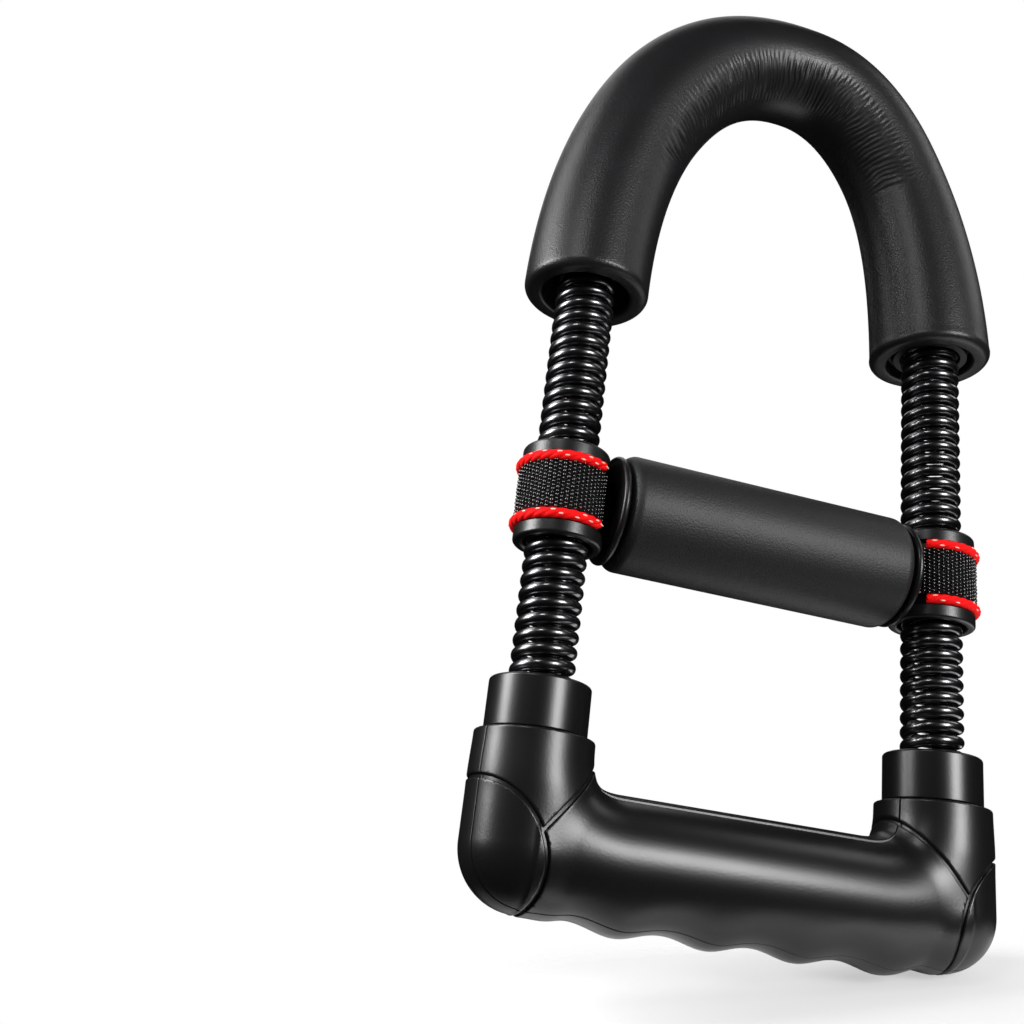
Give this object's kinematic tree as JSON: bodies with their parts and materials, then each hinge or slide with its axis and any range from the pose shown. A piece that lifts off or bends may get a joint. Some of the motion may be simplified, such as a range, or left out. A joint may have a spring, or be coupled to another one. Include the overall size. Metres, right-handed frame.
{
  "type": "forearm trainer",
  "caption": "Spring forearm and wrist trainer: a finger-grooved handle joined to a foam-padded arch by bending coil springs, with a sliding, rolling forearm pad.",
  "frame": {"origin": "middle of the trainer's footprint, level with the lowest finger bump of the handle", "axes": "+X across the two springs to the right as the finger grooves are seen from the front, -Y to the front, +Z from the handle up to the padded arch"},
  "size_m": [0.1493, 0.0358, 0.2889],
  "materials": {
    "handle_plastic": "satin",
    "ferrule_plastic": "satin",
    "plug_steel": "satin",
    "spring_lacquer": "gloss",
    "bush_nylon": "satin",
    "collar_plastic": "satin",
    "piping_cord": "matte",
    "screw_steel": "satin",
    "foam_rubber": "matte",
    "tube_steel": "satin",
    "webbing": "matte"
  },
  "bodies": {
    "handle": {"front_shell": "handle_plastic", "back_shell": "handle_plastic", "left_ferrule": "ferrule_plastic", "right_ferrule": "ferrule_plastic", "left_lower_plug": "plug_steel", "right_lower_plug": "plug_steel", "shell_screw_1": "screw_steel", "shell_screw_2": "screw_steel", "shell_screw_3": "screw_steel", "shell_screw_4": "screw_steel"},
    "springs": {"left_spring": "spring_lacquer", "right_spring": "spring_lacquer"},
    "arch": {"arch_foam": "foam_rubber", "arch_tube": "tube_steel", "left_arch_bush": "bush_nylon", "right_arch_bush": "bush_nylon", "left_upper_plug": "plug_steel", "right_upper_plug": "plug_steel", "left_arch_pin": "plug_steel", "right_arch_pin": "plug_steel"},
    "pad_carriage": {"left_collar": "collar_plastic", "right_collar": "collar_plastic", "strap": "webbing", "left_upper_piping": "piping_cord", "left_lower_piping": "piping_cord", "right_upper_piping": "piping_cord", "right_lower_piping": "piping_cord"},
    "pad_roller": {"pad_core": "collar_plastic", "pad_foam": "foam_rubber"}
  },
  "joints": [
    {"name": "lower_flex", "type": "hinge", "parent": "handle", "child": "springs", "pos_m": [0, 0, 0.0699], "axis": [1, 0, 0], "range_deg": [-25, 25], "stiffness_Nm_per_rad": 10, "deforming": ["left_spring", "right_spring"]},
    {"name": "upper_flex", "type": "hinge", "parent": "springs", "child": "arch", "pos_m": [0, 0, 0.1591], "axis": [1, 0, 0], "range_deg": [-25, 25], "stiffness_Nm_per_rad": 10},
    {"name": "pad_slide", "type": "slide", "parent": "springs", "child": "pad_carriage", "axis": [0, 0, 1], "range_m": [-0.0285, 0.041]},
    {"name": "pad_roll", "type": "hinge", "parent": "pad_carriage", "child": "pad_roller", "pos_m": [0, 0, 0.1081], "axis": [1, 0, 0], "continuous": true}
  ],
  "couplings": [
    {"joint": "upper_flex", "follows": "lower_flex", "ratio": 1}
  ]
}
